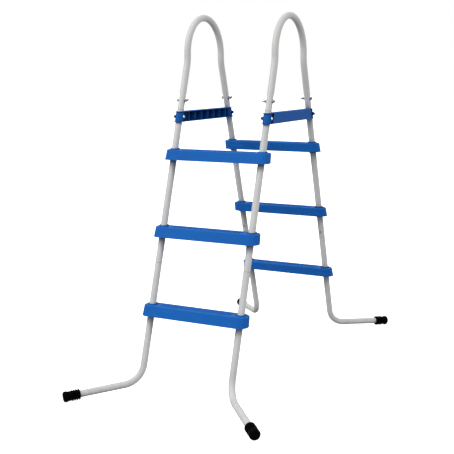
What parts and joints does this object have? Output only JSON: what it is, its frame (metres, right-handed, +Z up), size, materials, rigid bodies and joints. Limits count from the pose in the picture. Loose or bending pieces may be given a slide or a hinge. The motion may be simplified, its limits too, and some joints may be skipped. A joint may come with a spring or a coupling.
{
  "type": "pool ladder",
  "caption": "A-frame ladder for an above-ground pool: two stepped tube ladders under looped handrails, joined by side brackets, with blue steps and rubber-capped feet.",
  "frame": {"origin": "on the ground in the middle of the footprint, under the side brackets", "axes": "+Z up, +X across the steps, +Y from the outside (front) ladder to the pool-side (back) ladder"},
  "size_m": [0.8564, 1.6256, 1.518],
  "materials": {
    "powder_coat": "light grey powder coat, satin with a faint orange peel",
    "step_plastic": "mid-blue moulded polypropylene, semi-gloss",
    "bracket_plastic": "blue moulded polypropylene, semi-gloss",
    "sleeve_plastic": "dark blue moulded plastic, matt",
    "nut_plastic": "dark blue moulded plastic, matt",
    "cap_rubber": "black rubber, matt",
    "zinc_steel": "zinc plated, dull",
    "bright_steel": "nickel plated, bright",
    "spring_steel": "blued spring strip"
  },
  "bodies": {
    "ladder": {"anchor_sleeves_back_bottom": "sleeve_plastic", "anchor_sleeves_back_middle": "sleeve_plastic", "anchor_sleeves_back_top": "sleeve_plastic", "anchor_sleeves_front_bottom": "sleeve_plastic", "anchor_sleeves_front_middle": "sleeve_plastic", "anchor_sleeves_front_top": "sleeve_plastic", "bracket_bolts": "bright_steel", "bracket_cap_nuts": "nut_plastic", "bracket_washers": "bright_steel", "foot_cap_back_left": "cap_rubber", "foot_cap_back_right": "cap_rubber", "foot_cap_front_left": "cap_rubber", "foot_cap_front_right": "cap_rubber", "handrail_bolts": "zinc_steel", "handrail_left": "powder_coat", "handrail_right": "powder_coat", "handrail_washers": "zinc_steel", "lower_leg_back_left": "powder_coat", "lower_leg_back_right": "powder_coat", "lower_leg_front_left": "powder_coat", "lower_leg_front_right": "powder_coat", "saddle_washers": "zinc_steel", "side_bracket_left": "bracket_plastic", "side_bracket_right": "bracket_plastic", "snap_springs": "spring_steel", "step_back_bottom": "step_plastic", "step_back_middle": "step_plastic", "step_back_top": "step_plastic", "step_front_bottom": "step_plastic", "step_front_middle": "step_plastic", "step_front_top": "step_plastic", "upper_stile_back_left": "powder_coat", "upper_stile_back_right": "powder_coat", "upper_stile_front_left": "powder_coat", "upper_stile_front_right": "powder_coat"},
    "wing_nut_front_left": {"wing_nut_front_left": "zinc_steel"},
    "wing_nut_front_right": {"wing_nut_front_right": "zinc_steel"},
    "wing_nut_back_left": {"wing_nut_back_left": "zinc_steel"},
    "wing_nut_back_right": {"wing_nut_back_right": "zinc_steel"},
    "snap_button_front_left": {"snap_button_front_left": "zinc_steel"},
    "snap_button_front_right": {"snap_button_front_right": "zinc_steel"},
    "snap_button_back_left": {"snap_button_back_left": "zinc_steel"},
    "snap_button_back_right": {"snap_button_back_right": "zinc_steel"}
  },
  "joints": [
    {"name": "wing_nut_front_left_turn", "type": "hinge", "parent": "ladder", "child": "wing_nut_front_left", "pos_m": [-0.177, -0.20625, 1.159], "axis": [1, 0, 0], "continuous": true},
    {"name": "wing_nut_front_right_turn", "type": "hinge", "parent": "ladder", "child": "wing_nut_front_right", "pos_m": [0.177, -0.20625, 1.159], "axis": [-1, 0, 0], "continuous": true},
    {"name": "wing_nut_back_left_turn", "type": "hinge", "parent": "ladder", "child": "wing_nut_back_left", "pos_m": [-0.177, 0.20625, 1.159], "axis": [1, 0, 0], "continuous": true},
    {"name": "wing_nut_back_right_turn", "type": "hinge", "parent": "ladder", "child": "wing_nut_back_right", "pos_m": [0.177, 0.20625, 1.159], "axis": [-1, 0, 0], "continuous": true},
    {"name": "snap_button_front_left_press", "type": "slide", "parent": "ladder", "child": "snap_button_front_left", "axis": [0, 0.9516, -0.3074], "range_m": [-0.0036, 0], "stiffness_N_per_m": 900, "springref_m": 0.003},
    {"name": "snap_button_front_right_press", "type": "slide", "parent": "ladder", "child": "snap_button_front_right", "axis": [0, 0.9516, -0.3074], "range_m": [-0.0036, 0], "stiffness_N_per_m": 900, "springref_m": 0.003},
    {"name": "snap_button_back_left_press", "type": "slide", "parent": "ladder", "child": "snap_button_back_left", "axis": [0, -0.9516, -0.3074], "range_m": [-0.0036, 0], "stiffness_N_per_m": 900, "springref_m": 0.003},
    {"name": "snap_button_back_right_press", "type": "slide", "parent": "ladder", "child": "snap_button_back_right", "axis": [0, -0.9516, -0.3074], "range_m": [-0.0036, 0], "stiffness_N_per_m": 900, "springref_m": 0.003}
  ]
}
